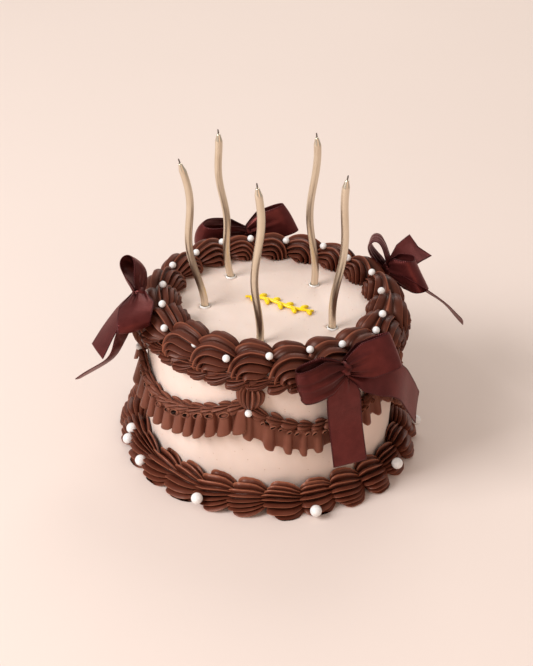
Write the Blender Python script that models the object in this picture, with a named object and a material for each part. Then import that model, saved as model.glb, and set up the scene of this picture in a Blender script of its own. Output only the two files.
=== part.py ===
# Birthday cake: a round cake with piped chocolate borders and swags, five wavy candles and four ribbon bows.
# Metres, origin at the centre of the flat base, +Z up, the front of the cake towards -Y.
import math

import bmesh
import bpy
from mathutils import Vector

MM = 0.001
GAP = 0.3 * MM

CAKE_RADIUS = 80 * MM
CAKE_HEIGHT = 94.3 * MM
CAKE_EDGE = 3 * MM
CAKE_SIDES = 48
WALL = CAKE_RADIUS + 1.4 * GAP
TOP = CAKE_HEIGHT + GAP

TOP_SHELLS = 19
TOP_MIDDLE = 72.7 * MM
TOP_HALF_WIDTH = 15.3 * MM
TOP_RISE = 14 * MM
TOP_WRAP = 4.3 * MM
TOP_START = 252.5
TOP_RIDGE_POINTS = 9
TOP_VALLEY = 0.86
TOP_PEARL_RADII = (81, 77, 71.8, 73.2, 75.4, 71.1, 68.1, 70.8, 69.5, 73.4,
                   72.1, 74.7, 73, 71.5, 72.2, 70.4, 71.4, 79, 80)

UPPER_SHELLS = 43
UPPER_MIDDLE = 86 * MM
UPPER_HALF_HEIGHT = 3.5 * MM
UPPER_DEPTH = 6.6 * MM
UPPER_RIDGE_POINTS = 6
UPPER_VALLEY = 0.9

BASE_SHELLS = 26
BASE_DEPTH = 18.1 * MM
BASE_RISE = 17 * MM
BASE_START = 239.5
BASE_RIDGE_POINTS = 7
BASE_VALLEY = 0.88

SWAGS = 5
SWAG_START = 262
SWAG_END_GAP = 0.25
SWAG_STATIONS = 22
SWAG_LOW = 57 * MM
SWAG_LOW_AT = -0.22
SWAG_LEFT_RISE = 13 * MM
SWAG_RIGHT_RISE = 20 * MM
SWAG_LOW_OFFSETS = (2, -3, 0, 1, -1)
STRAND_DEPTH = 5.6 * MM
STRAND_HEIGHT = 7 * MM
RUFFLE_LENGTH = 13.5 * MM
RUFFLE_FOLD = 1.6 * MM

DROP_TOP = 82 * MM
DROP_FOOT = 69.5 * MM
DROP_HALF_WIDTH = 7.8 * MM
DROP_DEPTH = 7.4 * MM
DROP_CLEARANCE = 0.9 * MM
DROP_PEARL_OUT = 3.4 * MM
DROP_PEARL_UP = 0.6 * MM

SMALL_PEARL = 2.25 * MM
LARGE_PEARL = 3.6 * MM
SMALL_PEARL_ON = 0.9 * MM
LARGE_PEARL_ON = 1.8 * MM
PEARL_SEAT = 0.94
BASE_PEARLS = ((189.7, 92), (195.9, 97), (210.9, 94.7), (243.6, 93.9), (288.3, 96.4), (334.4, 92.4),
               (5.2, 98), (39, 94), (75, 97), (112, 94), (148, 97))

CANDLE_RADIUS = 2.35 * MM
CANDLE_SIDES = 7
CANDLE_SINK = 11 * MM
TIP_LENGTH = 5 * MM
TIP_RADIUS = 1.1 * MM
WICK_RADIUS = 0.5 * MM
WICK_LENGTH = 3 * MM
WICK_SIDES = 5
CUP_RADIUS = 3.4 * MM
CUP_BORE = CANDLE_RADIUS + 1.8 * GAP
CUP_SIDES = 9
CUP_RISE = 0.8 * MM
CUP_DEPTH = 12 * MM

RIBBON_WIDTH = 22 * MM
RIBBON_THICKNESS = 0.8 * MM
KNOT_RADIUS = 4.6 * MM
GATHER_LENGTH = 16 * MM
GATHERED_SHARE = 0.34
LOOP_START = 0.45

FLOURISH_LENGTH = 46 * MM
FLOURISH_CENTRE = (3.8, -0.8)
FLOURISH_TURN = -19.5
FLOURISH_HEIGHT = 1.6 * MM
FLOURISH_SWAY = 1.6 * MM
STEM_HALF_WIDTH = 0.9 * MM
LEAVES = 9
LEAF_REACH = 3.2 * MM
LEAF_HALF_SHARE = 0.021

# A shell's size from its rounded head to its pulled-out tail, as (share of its length, share of its full size).
LARGE_SHELL = ((0.0, 0.72), (0.08, 0.95), (0.34, 1.0), (0.64, 0.86), (0.92, 0.72))
BASE_SHELL = ((0.0, 0.68), (0.12, 0.95), (0.42, 0.98), (0.86, 0.70))
SMALL_SHELL = ((0.0, 0.76), (0.35, 1.0))

# Each candle: where its foot stands, then its lean, wave, wave length, wave phase and height above the cake.
CANDLES = (
    ((-42.8, -6.1), -0.137, 2.36, 72.5, 1.29, 98.6),
    ((-28.5, 34.3), -0.110, -1.24, 56.8, 0.0, 102.0),
    ((-7.2, -47.5), -0.026, 1.84, 74.6, 1.18, 103.5),
    ((26.2, 27.6), -0.037, 2.07, 82.4, 0.87, 104.9),
    ((36.8, -26.7), 0.034, -1.56, 74.8, 0.19, 101.4),
)

# Each bow: its knot, each loop as (far end, direction across the ribbon, half thickness of the loop), and
# each tail as stations of (centre, direction across the ribbon).
BOWS = {
    "front_bow": {
        "knot": (42.2, -83.2, 100.5),
        "loops": (
            ((17.2, -93.4, 92.7), (5.4, -2.7, -21.5), 3.2),
            ((71.5, -64.5, 103.5), (9.0, -8.0, -18.5), 4.5),
        ),
        "tails": (
            (((42.5, -85.2, 84.0), (9, 4.5, 0)), ((45.5, -82.2, 60.0), (9, 4.5, 0)),
             ((50.0, -82.5, 33.0), (9.4, 4.0, -0.6))),
            (((64.0, -75.0, 90.0), (-8, -15, -8)), ((78.3, -61.5, 78.0), (-6, -18, -7)),
             ((92.3, -40.5, 47.5), (-3, -17.6, -9))),
        ),
    },
    "left_bow": {
        "knot": (-82.5, -20.5, 109.0),
        "loops": (
            ((-92.0, 1.5, 118.5), (-7.0, 8.5, -8.0), 4.0),
            ((-83.5, -46.0, 103.5), (-9.0, -1.0, -4.6), 2.4),
        ),
        "tails": (
            (((-95.5, -24.0, 94.0), (8.8, -16.9, 6)), ((-106.4, -41.0, 79.0), (4.3, -19.3, -2.5))),
            (((-92.0, -36.0, 88.0), (3, 14, -12)), ((-98.6, -40.4, 74.0), (0, 16.6, -11)),
             ((-118.6, -37.1, 57.5), (-2.3, 16.3, -11.3))),
        ),
    },
    "back_bow": {
        "knot": (-20.3, 91.5, 98.5),
        "loops": (
            ((-52.5, 82.0, 101.0), (-5.7, 5.6, -15.5), 3.5),
            ((9.9, 102.0, 107.0), (10.6, -1.5, -16.8), 4.0),
        ),
        "tails": (
            (((-30.0, 94.0, 82.0), (19, 6, 0)), ((-35.0, 94.5, 52.0), (19, 7, 2))),
            (((-5.0, 97.0, 82.0), (20, 1, 0)), ((-1.0, 98.5, 55.0), (20, 0, -3))),
        ),
    },
    "right_bow": {
        "knot": (77.5, 47.0, 101.0),
        "loops": (
            ((67.0, 69.0, 115.0), (11.0, 15.0, -4.0), 4.2),
            ((96.0, 38.5, 98.5), (10.4, -6.4, -18.0), 6.0),
        ),
        "tails": (
            (((89.0, 59.0, 104.0), (7, -14, -5)), ((98.0, 68.5, 106.0), (12.5, -13.9, -7.5))),
            (((98.0, 34.5, 91.0), (3, 14.5, -10)), ((111.0, 25.5, 86.0), (3.4, 14.0, -10)),
             ((123.5, 16.0, 78.0), (4.1, 12.7, -12.2))),
        ),
    },
}


def clear_scene():
    for thing in list(bpy.data.objects):
        bpy.data.objects.remove(thing, do_unlink=True)


def material(name, colour, roughness, metallic=0.0):
    made = bpy.data.materials.get(name) or bpy.data.materials.new(name)
    made.use_nodes = True
    shader = made.node_tree.nodes["Principled BSDF"]
    shader.inputs["Base Color"].default_value = (*colour, 1)
    shader.inputs["Roughness"].default_value = roughness
    shader.inputs["Metallic"].default_value = metallic
    return made


def new_object(name, bm, paint=None):
    """An object of the mesh, with its faces pointing out."""
    bmesh.ops.recalc_face_normals(bm, faces=bm.faces)
    mesh = bpy.data.meshes.new(name)
    bm.to_mesh(mesh)
    bm.free()
    made = bpy.data.objects.new(name, mesh)
    bpy.context.collection.objects.link(made)
    if paint:
        mesh.materials.append(paint)
    return made


def loft(name, rings, paint=None, closed=False):
    """A solid skin over rings of equally many points: a closed loop of rings, or one with both ends capped."""
    bm = bmesh.new()
    loops = [[bm.verts.new(point) for point in ring] for ring in rings]
    pairs = list(zip(loops, loops[1:]))
    if closed:
        pairs.append((loops[-1], loops[0]))
    else:
        bm.faces.new(loops[0])
        bm.faces.new(loops[-1])
    for low, high in pairs:
        for i in range(len(low)):
            j = (i + 1) % len(low)
            bm.faces.new((low[i], low[j], high[j], high[i]))
    return new_object(name, bm, paint)


def polar(radius, degrees, height):
    angle = math.radians(degrees)
    return Vector((radius * math.cos(angle), radius * math.sin(angle), height))


def circle(centre, radius, sides):
    turns = (2 * math.pi * i / sides for i in range(sides))
    return [centre + Vector((radius * math.cos(a), radius * math.sin(a), 0)) for a in turns]


def pearl(name, centre, radius):
    bm = bmesh.new()
    bmesh.ops.create_uvsphere(bm, u_segments=6, v_segments=4, radius=radius)
    bmesh.ops.translate(bm, verts=bm.verts, vec=centre)
    return new_object(name, bm)


def keep_largest_body(mesh):
    """Fills the small hollows that joining can seal, and drops loose scraps."""
    bm = bmesh.new()
    bm.from_mesh(mesh)
    bodies = []
    left = set(bm.verts)
    while left:
        body = {left.pop()}
        edge_of_body = list(body)
        while edge_of_body:
            vert = edge_of_body.pop()
            near = {edge.other_vert(vert) for edge in vert.link_edges} - body
            body |= near
            edge_of_body += near
        left -= body
        bodies.append(body)
    bodies.sort(key=len)
    for body in bodies[:-1]:
        bmesh.ops.delete(bm, geom=list(body), context="VERTS")
    bm.to_mesh(mesh)
    bm.free()
    return mesh


def combine(target, others, operation="UNION", solver="EXACT"):
    """Joins the others to the target, or cuts them from it, and removes them."""
    group = bpy.data.collections.new("joined")
    bpy.context.scene.collection.children.link(group)
    for other in others:
        bpy.context.collection.objects.unlink(other)
        group.objects.link(other)
    change = target.modifiers.new("combine", "BOOLEAN")
    change.operation = operation
    change.solver = solver
    change.operand_type = "COLLECTION"
    change.collection = group
    bpy.context.view_layer.update()
    whole = target.evaluated_get(bpy.context.evaluated_depsgraph_get())
    mesh = bpy.data.meshes.new_from_object(whole)
    target.modifiers.clear()
    target.data = keep_largest_body(mesh)
    for other in others:
        bpy.data.objects.remove(other, do_unlink=True)
    bpy.data.collections.remove(group)


def drift(degrees):
    """How far the hand-piped large shells stray from even spacing, in degrees."""
    angle = math.radians(degrees)
    return 2.0 * math.sin(angle - math.radians(53)) + 2.6 * math.sin(2 * angle)


def top_junction(number):
    even = TOP_START + 360 * number / TOP_SHELLS
    return even + drift(even)


def cake_body(paint):
    profile = ((CAKE_RADIUS, 0), (CAKE_RADIUS, CAKE_HEIGHT - CAKE_EDGE),
               (CAKE_RADIUS - 0.3 * CAKE_EDGE, CAKE_HEIGHT - 0.3 * CAKE_EDGE),
               (CAKE_RADIUS - CAKE_EDGE, CAKE_HEIGHT))
    body = loft("cake_body", [circle(Vector((0, 0, z)), r, CAKE_SIDES) for r, z in profile], paint)
    sockets = []
    for foot, *_ in CANDLES:
        floor = Vector((foot[0] * MM, foot[1] * MM, CAKE_HEIGHT - CUP_DEPTH - GAP))
        above = floor + Vector((0, 0, CUP_DEPTH + 2 * MM))
        rings = [circle(end, CUP_RADIUS + 2 * GAP, CUP_SIDES) for end in (floor, above)]
        sockets.append(loft("socket", rings))
    combine(body, sockets, "DIFFERENCE")


def top_section(degrees, size):
    """One cross-section of the top border, which lies on the cake's rim and laps over its edge."""
    points = []
    for i in range(TOP_RIDGE_POINTS):
        angle = math.pi * (1 - i / (TOP_RIDGE_POINTS - 1))
        reach = size if i % 2 == 0 else size * TOP_VALLEY
        radius = TOP_MIDDLE + TOP_HALF_WIDTH * reach * math.cos(angle)
        points.append(polar(radius, degrees, TOP + TOP_RISE * reach * math.sin(angle)))
    points.append(polar(WALL, degrees, TOP - TOP_WRAP * size))
    points.append(polar(WALL, degrees, TOP))
    return points


def top_border(paint):
    rings = []
    for k in range(TOP_SHELLS):
        start = top_junction(k)
        length = top_junction(k + 1) - start
        rings += [top_section(start + length * along, size) for along, size in LARGE_SHELL]
    border = loft("top_border", rings, paint, closed=True)
    pearls = []
    for k in range(TOP_SHELLS):
        radius = TOP_PEARL_RADII[k] * MM
        size = PEARL_SEAT * LARGE_SHELL[0][1]
        rise = TOP_RISE * size * math.sqrt(1 - ((radius - TOP_MIDDLE) / (TOP_HALF_WIDTH * size)) ** 2)
        centre = polar(radius, top_junction(k), TOP + rise + SMALL_PEARL_ON)
        pearls.append(pearl("pearl", centre, SMALL_PEARL))
    combine(border, pearls)


def upper_side_border(paint):
    rings = []
    for k in range(UPPER_SHELLS):
        for along, size in SMALL_SHELL:
            degrees = 360 * (k + along) / UPPER_SHELLS
            ring = []
            for i in range(UPPER_RIDGE_POINTS):
                angle = math.pi * (0.5 - i / (UPPER_RIDGE_POINTS - 1))
                reach = size if i % 2 == 0 else size * UPPER_VALLEY
                radius = WALL + UPPER_DEPTH * reach * max(0, math.cos(angle))
                height = UPPER_MIDDLE + UPPER_HALF_HEIGHT * reach * math.sin(angle)
                ring.append(polar(radius, degrees, height))
            rings.append(ring)
    loft("upper_side_border", rings, paint, closed=True)


def size_at(pattern, share):
    """A shell's size at a share of its length, between the stations of its pattern and the next shell's head."""
    stations = (*pattern, (1.0, pattern[0][1]))
    for (low, small), (high, large) in zip(stations, stations[1:]):
        if low <= share <= high:
            return small + (large - small) * (share - low) / (high - low)
    return pattern[0][1]


def base_section(degrees, size):
    points = [polar(WALL, degrees, 0)]
    for i in range(BASE_RIDGE_POINTS):
        angle = math.pi / 2 * (1 - i / (BASE_RIDGE_POINTS - 1))
        reach = size if i % 2 == 0 else size * BASE_VALLEY
        radius = WALL + BASE_DEPTH * reach * math.cos(angle)
        points.append(polar(radius, degrees, BASE_RISE * reach * math.sin(angle)))
    return points


def base_border(paint):
    pitch = 360 / BASE_SHELLS
    rings = []
    for k in range(BASE_SHELLS):
        rings += [base_section(BASE_START + pitch * (k + along), size) for along, size in BASE_SHELL]
    border = loft("base_border", rings, paint, closed=True)
    pearls = []
    for degrees, radius in BASE_PEARLS:
        size = PEARL_SEAT * size_at(BASE_SHELL, ((degrees - BASE_START) / pitch) % 1)
        out = min(0.97, (radius * MM - WALL) / (BASE_DEPTH * size))
        surface = BASE_RISE * size * math.sqrt(1 - out * out)
        height = max(surface + LARGE_PEARL_ON * (1 - out), LARGE_PEARL)
        lifted = polar(WALL + BASE_DEPTH * size * out + LARGE_PEARL_ON * out, degrees, height)
        pearls.append(pearl("pearl", lifted, LARGE_PEARL))
    combine(border, pearls)


def swag_top(number, share):
    """The height of a swag's upper edge, where share runs from -1 at its left end to 1 at its right."""
    low = SWAG_LOW + SWAG_LOW_OFFSETS[number] * MM
    if share > SWAG_LOW_AT:
        return low + SWAG_RIGHT_RISE * ((share - SWAG_LOW_AT) / (1 - SWAG_LOW_AT)) ** 1.4
    return low + SWAG_LEFT_RISE * ((SWAG_LOW_AT - share) / (1 + SWAG_LOW_AT)) ** 1.7


def swag_section(degrees, top, fold):
    """A strand of small shells at the top, and the ruffle that hangs from it and stands off the wall."""
    waist = top - STRAND_HEIGHT
    hem = waist - RUFFLE_LENGTH
    outline = ((0, top), (0.72 * STRAND_DEPTH, top - 0.6 * MM),
               (STRAND_DEPTH + 0.3 * fold, top - 0.45 * STRAND_HEIGHT), (0.62 * STRAND_DEPTH, waist),
               (0.62 * STRAND_DEPTH + 0.6 * fold, waist - 0.5 * RUFFLE_LENGTH),
               (0.78 * STRAND_DEPTH + fold, hem), (0.78 * STRAND_DEPTH + fold - 1.7 * MM, hem),
               (0, waist - 2.5 * MM))
    return [polar(WALL + out, degrees, height) for out, height in outline]


def drop(name, degrees, paint=None, grow=0.0):
    """A fluted drop on the wall between two swags, widest near its top."""
    rings = []
    for along, size in ((0.0, 0.75), (0.18, 1.0), (0.5, 0.88), (0.8, 0.52), (1.0, 0.3)):
        height = DROP_TOP + grow - (DROP_TOP - DROP_FOOT + 2 * grow) * along
        ring = []
        for i in range(7):
            angle = math.radians(30 * i)
            reach = size if i % 2 == 0 else size * 0.86
            aside = (DROP_HALF_WIDTH * reach + grow) * math.cos(angle)
            radius = WALL + (DROP_DEPTH * reach + grow) * math.sin(angle)
            ring.append(polar(radius, degrees + math.degrees(aside / WALL), height))
        behind = -1.5 * MM if grow else 0
        ring[0] = polar(WALL + behind, degrees + math.degrees((DROP_HALF_WIDTH * size + grow) / WALL), height)
        ring[-1] = polar(WALL + behind, degrees - math.degrees((DROP_HALF_WIDTH * size + grow) / WALL), height)
        ring.append(polar(WALL + behind, degrees, height))
        rings.append(ring)
    return loft(name, rings, paint)


def drop_pearl(degrees, grow=0.0):
    return pearl("pearl", polar(WALL + DROP_PEARL_OUT, degrees, DROP_FOOT + DROP_PEARL_UP), SMALL_PEARL + grow)


def swags(paint):
    span = 360 / SWAGS
    for number in range(SWAGS):
        rings = []
        for i in range(SWAG_STATIONS + 1):
            share = 2 * i / SWAG_STATIONS - 1
            degrees = SWAG_START + span * number + span / 2 + share * (span / 2 - SWAG_END_GAP)
            fold = RUFFLE_FOLD if i % 2 else -RUFFLE_FOLD
            rings.append(swag_section(degrees, swag_top(number, share), fold))
        swag = loft(f"swag_{number + 1}", rings, paint)
        ends = (SWAG_START + span * number, SWAG_START + span * (number + 1))
        cutters = [drop("cutter", degrees, grow=DROP_CLEARANCE) for degrees in ends]
        cutters += [drop_pearl(degrees, DROP_CLEARANCE) for degrees in ends]
        combine(swag, cutters, "DIFFERENCE")
    for number in range(SWAGS):
        degrees = SWAG_START + span * number
        fluted = drop(f"swag_drop_{number + 1}", degrees, paint)
        combine(fluted, [drop_pearl(degrees)])


def candle_aside(height, lean, wave, wave_length, phase):
    """How far to the side the candle's middle line is at a height in millimetres."""
    return lean * height + wave * (math.sin(2 * math.pi * height / wave_length + phase) - math.sin(phase))


def candles(wax, wick_paint, cup_paint):
    for number, (foot, lean, wave, wave_length, phase, tall) in enumerate(CANDLES, 1):
        base = Vector((foot[0] * MM, foot[1] * MM, CAKE_HEIGHT))

        def middle(height):
            aside = candle_aside(height, lean, wave, wave_length, phase) if height > 0 else 0
            return base + Vector((aside * MM, 0, height * MM))

        shoulder = tall - (WICK_LENGTH + TIP_LENGTH) / MM
        tip = tall - WICK_LENGTH / MM
        heights = [-CANDLE_SINK / MM] + [shoulder * i / 10 for i in range(11)]
        rings = [circle(middle(height), CANDLE_RADIUS, CANDLE_SIDES) for height in heights]
        rings.append(circle(middle(tip), TIP_RADIUS, CANDLE_SIDES))
        loft(f"candle_{number}", rings, wax)
        ends = (tip + GAP / MM, tall)
        loft(f"wick_{number}", [circle(middle(height), WICK_RADIUS, WICK_SIDES) for height in ends], wick_paint)
        floor = base - Vector((0, 0, CUP_DEPTH))
        rim = base + Vector((0, 0, CUP_RISE))
        inner_floor = base - Vector((0, 0, CANDLE_SINK + GAP))
        cup = [circle(floor, CUP_RADIUS, CUP_SIDES), circle(rim, CUP_RADIUS, CUP_SIDES),
               circle(rim, CUP_BORE, CUP_SIDES), circle(inner_floor, CUP_BORE, CUP_SIDES)]
        loft(f"candle_cup_{number}", cup, cup_paint)


def curve_through(points, steps):
    """Evenly spaced points of a smooth curve through the given ones."""
    held = [2 * points[0] - points[1], *points, 2 * points[-1] - points[-2]]
    made = []
    for i in range(steps + 1):
        at = (len(points) - 1) * i / steps
        k = min(int(at), len(points) - 2)
        t = at - k
        a, b, c, d = held[k:k + 4]
        made.append(0.5 * (2 * b + (c - a) * t + (2 * a - 5 * b + 4 * c - d) * t * t
                           + (3 * b - a - 3 * c + d) * t ** 3))
    return made


def ribbon(name, centres, acrosses, widths, paint=None):
    """A strip of ribbon with real thickness along its middle line."""
    rings = []
    for i, (centre, across, width) in enumerate(zip(centres, acrosses, widths)):
        along = (centres[min(i + 1, len(centres) - 1)] - centres[max(i - 1, 0)]).normalized()
        side = (across - along * across.dot(along) * 0.5).normalized()
        face = side.cross(along).normalized()
        half = side * width / 2
        thick = face * RIBBON_THICKNESS / 2
        low = centre - thick
        high = centre + thick
        rings.append([low - half, low + half, high + half, high - half])
    return loft(name, rings, paint)


def bow_loop(knot, far, across, puff):
    steps = 8
    out = far - knot
    side = across.normalized()
    bulge = out.cross(side).normalized() * puff
    turns = [LOOP_START + 2 * (math.pi - LOOP_START) * i / steps for i in range(steps + 1)]
    centres = [knot + out * (1 - math.cos(a)) / 2 + bulge * math.sin(a) for a in turns]
    widths = [RIBBON_WIDTH * (0.3 + 0.7 * math.sin(a / 2) ** 2) for a in turns]
    return ribbon("loop", centres, [side] * len(centres), widths)


def bow_tail(knot, stations):
    steps = 6
    centres = curve_through([knot] + [Vector(centre) * MM for centre, _ in stations], steps)
    centres[0] = centres[0].lerp(centres[1], 0.2)
    acrosses = [Vector(stations[0][1]).normalized()] + [Vector(across).normalized() for _, across in stations]
    spread = 1 - GATHERED_SHARE
    widths = [RIBBON_WIDTH * min(1, GATHERED_SHARE + spread * (centre - knot).length / GATHER_LENGTH)
              for centre in centres]
    return ribbon("tail", centres, curve_through(acrosses, steps), widths)


def bows(paint):
    for name, bow in BOWS.items():
        knot = Vector(bow["knot"]) * MM
        bm = bmesh.new()
        bmesh.ops.create_uvsphere(bm, u_segments=8, v_segments=4, radius=KNOT_RADIUS)
        bmesh.ops.translate(bm, verts=bm.verts, vec=knot)
        tied = new_object(name, bm, paint)
        strips = [bow_loop(knot, Vector(far) * MM, Vector(across), puff * MM)
                  for far, across, puff in bow["loops"]]
        strips += [bow_tail(knot, stations) for stations in bow["tails"]]
        combine(tied, strips, solver="MANIFOLD")


def flourish(paint):
    """A piped yellow sprig: a gently waved stem with small leaves on both sides."""
    turn = math.radians(FLOURISH_TURN)
    ahead = Vector((math.cos(turn), math.sin(turn), 0))
    aside = Vector((-ahead.y, ahead.x, 0))
    centre = Vector((FLOURISH_CENTRE[0] * MM, FLOURISH_CENTRE[1] * MM, TOP))

    def place(share, offset, height):
        sway = FLOURISH_SWAY * math.sin(2 * math.pi * share)
        level = centre + ahead * FLOURISH_LENGTH * (share - 0.5) + aside * (sway + offset)
        return level + Vector((0, 0, height))

    rings = []
    for i in range(13):
        size = 0.55 + 0.45 * math.sin(math.pi * i / 12)
        rings.append([place(i / 12, out * STEM_HALF_WIDTH * size, up * FLOURISH_HEIGHT * size)
                      for out, up in ((-1, 0), (1, 0), (0.6, 0.95), (-0.6, 0.95))])
    stem = loft("piped_flourish", rings, paint)
    leaves = []
    for i in range(LEAVES):
        share = 0.08 + 0.84 * i / (LEAVES - 1)
        way = 1 if i % 2 else -1
        leaf = []
        for along, size in ((0.0, 0.6), (0.6, 1.0), (1.0, 0.35)):
            middle = share + along * 0.05
            offset = way * (0.2 * MM + LEAF_REACH * along)
            reach = LEAF_HALF_SHARE * size
            leaf.append([place(middle + out * reach, offset, up * FLOURISH_HEIGHT * size)
                         for out, up in ((-1, 0), (1, 0), (0.6, 0.77), (-0.6, 0.77))])
        leaves.append(loft("leaf", leaf))
    combine(stem, leaves)


def build():
    clear_scene()
    beige = material("beige_buttercream", (0.80, 0.66, 0.54), 0.55)
    chocolate = material("chocolate_buttercream", (0.14, 0.055, 0.038), 0.42)
    satin = material("maroon_satin_ribbon", (0.085, 0.018, 0.02), 0.35)
    gold = material("champagne_candle", (0.60, 0.47, 0.30), 0.25, 0.9)
    charred = material("wick_thread", (0.05, 0.045, 0.04), 0.8)
    white = material("white_candle_cup", (0.85, 0.85, 0.84), 0.4)
    yellow = material("yellow_icing", (0.90, 0.66, 0.0), 0.4)
    cake_body(beige)
    top_border(chocolate)
    upper_side_border(chocolate)
    base_border(chocolate)
    swags(chocolate)
    candles(gold, charred, white)
    bows(satin)
    flourish(yellow)


build()
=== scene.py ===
import math

import bmesh
import bpy
import numpy as np
from mathutils import Matrix, Vector
from mathutils.bvhtree import BVHTree


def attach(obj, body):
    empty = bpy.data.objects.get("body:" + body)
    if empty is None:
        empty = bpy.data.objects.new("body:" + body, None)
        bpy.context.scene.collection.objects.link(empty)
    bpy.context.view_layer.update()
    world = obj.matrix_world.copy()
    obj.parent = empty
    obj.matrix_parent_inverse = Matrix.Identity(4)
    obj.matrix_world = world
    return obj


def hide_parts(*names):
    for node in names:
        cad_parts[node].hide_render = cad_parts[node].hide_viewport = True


# Birthday cake: beige buttercream, piped chocolate borders and swags, pearls, wavy candles and satin bows.
# Shapes are worked out in millimetres and turned to metres when a mesh is made.
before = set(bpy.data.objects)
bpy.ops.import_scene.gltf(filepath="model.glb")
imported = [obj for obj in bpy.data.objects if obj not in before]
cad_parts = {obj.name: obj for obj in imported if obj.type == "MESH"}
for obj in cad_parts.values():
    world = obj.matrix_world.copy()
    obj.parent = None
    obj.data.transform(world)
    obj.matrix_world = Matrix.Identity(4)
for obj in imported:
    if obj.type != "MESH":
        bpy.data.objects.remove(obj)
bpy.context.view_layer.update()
mm = 0.001
print("frame loaded")


# Camera, fitted to the photograph
cameraSet = {
    "place": (-3.53, -685.65, 481.43),
    "pitch": 0.53774,   # looking down
    "roll": 0.0412,
    "lens": 67.26,
}


def addCamera(s):
    look = Vector((0, math.cos(s["pitch"]), -math.sin(s["pitch"])))
    level = Vector((0, math.sin(s["pitch"]), math.cos(s["pitch"])))
    right = math.cos(s["roll"]) * Vector((1, 0, 0)) + math.sin(s["roll"]) * level
    up = math.cos(s["roll"]) * level - math.sin(s["roll"]) * Vector((1, 0, 0))
    turn = Matrix((right, up, -look)).transposed()
    camera = bpy.data.objects.new("camera", bpy.data.cameras.new("camera"))
    camera.data.lens = s["lens"]
    camera.data.sensor_width = 36
    camera.data.clip_start = 0.01
    camera.matrix_world = Matrix.Translation(Vector(s["place"]) * mm) @ turn.to_4x4()
    bpy.context.scene.collection.objects.link(camera)
    bpy.context.scene.camera = camera


addCamera(cameraSet)


# Materials
def fromHex(code):  # sRGB hex to a linear colour
    parts = [int(code[i:i + 2], 16) / 255 for i in (1, 3, 5)]
    return (*(p / 12.92 if p <= 0.04045 else ((p + 0.055) / 1.055) ** 2.4 for p in parts), 1.0)


def addNode(tree, kind, given):  # keys name properties or sockets, and a socket as value is linked
    node = tree.nodes.new(kind)
    for key, value in given.items():
        if isinstance(value, bpy.types.NodeSocket):
            tree.links.new(value, node.inputs[key])
        elif isinstance(key, int) or key in node.inputs:
            node.inputs[key].default_value = value
        else:
            setattr(node, key, value)
    return node


def newMaterial(name, settings):
    made = bpy.data.materials.new(name)
    made.use_nodes = True
    tree = made.node_tree
    shader = tree.nodes["Principled BSDF"]
    for key, value in settings.items():
        shader.inputs[key].default_value = value
    return made, tree, shader, addNode(tree, "ShaderNodeTexCoord", {}).outputs["Object"]


def noise(tree, place, size, detail):  # size of its patches in millimetres
    given = {"Scale": 1 / (size * mm), "Detail": detail, "Vector": place}
    return addNode(tree, "ShaderNodeTexNoise", given).outputs["Fac"]


def shades(tree, driver, low, high, lowAt=0.0, highAt=1.0):  # from one sRGB colour to another
    ramp = addNode(tree, "ShaderNodeValToRGB", {"Fac": driver})
    for stop, at, code in zip(ramp.color_ramp.elements, (lowAt, highAt), (low, high)):
        stop.position = at
        stop.color = fromHex(code)
    return ramp.outputs["Color"]


def remap(tree, value, fromMin, fromMax, toMin, toMax):
    given = {"Value": value, "From Min": fromMin, "From Max": fromMax, "To Min": toMin, "To Max": toMax}
    return addNode(tree, "ShaderNodeMapRange", given).outputs["Result"]


def mix(tree, factor, first, second, blend="MIX"):
    given = {"data_type": "RGBA", "blend_type": blend, "Factor": factor, "A": first, "B": second}
    return addNode(tree, "ShaderNodeMix", given).outputs["Result"]


def reckon(tree, operation, *values):
    given = {"operation": operation, **dict(enumerate(values))}
    return addNode(tree, "ShaderNodeMath", given).outputs[0]


def pieceMark(tree, name):  # a value that the mesh carries at each point
    return addNode(tree, "ShaderNodeAttribute", {"attribute_name": name}).outputs["Fac"]


def bump(tree, height, strength, distance, under=None, invert=False):
    given = {"invert": invert, "Strength": strength, "Distance": distance, "Height": height}
    if under is not None:
        given["Normal"] = under
    return addNode(tree, "ShaderNodeBump", given).outputs["Normal"]


def beigeButtercream():  # smoothed buttercream: matte, fatty, with fine air pores and faint scraper waves
    made, tree, shader, place = newMaterial("smoothedBeigeButtercream", {
        "Roughness": 0.5, "IOR": 1.46, "Specular IOR Level": 0.35, "Subsurface Weight": 0.12,
        "Subsurface Radius": (0.004, 0.0026, 0.0018), "Subsurface Scale": 0.6,
    })
    tint = shades(tree, noise(tree, place, 35.7, 3), "#E0CABC", "#E9D5C8", 0.35, 0.68)
    speck = addNode(tree, "ShaderNodeTexVoronoi", {"Scale": 1 / (4.76 * mm), "Vector": place})   # pores
    poreDepthAndShade = remap(tree, speck.outputs["Distance"], 0.03, 0.085, 1.0, 0.0)
    low = bump(tree, noise(tree, place, 16.7, 1), 0.12, 0.0016)
    fine = bump(tree, noise(tree, place, 1.92, 4), 0.14, 0.0006, low)
    pits = bump(tree, poreDepthAndShade, 0.35, 0.0005, fine, invert=True)
    # painted shade in the pore pits: the pores are darkened
    tree.links.new(mix(tree, poreDepthAndShade, tint, fromHex("#D3B9A6"), "MULTIPLY"), shader.inputs["Base Color"])
    tree.links.new(pits, shader.inputs["Normal"])
    return made


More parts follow.
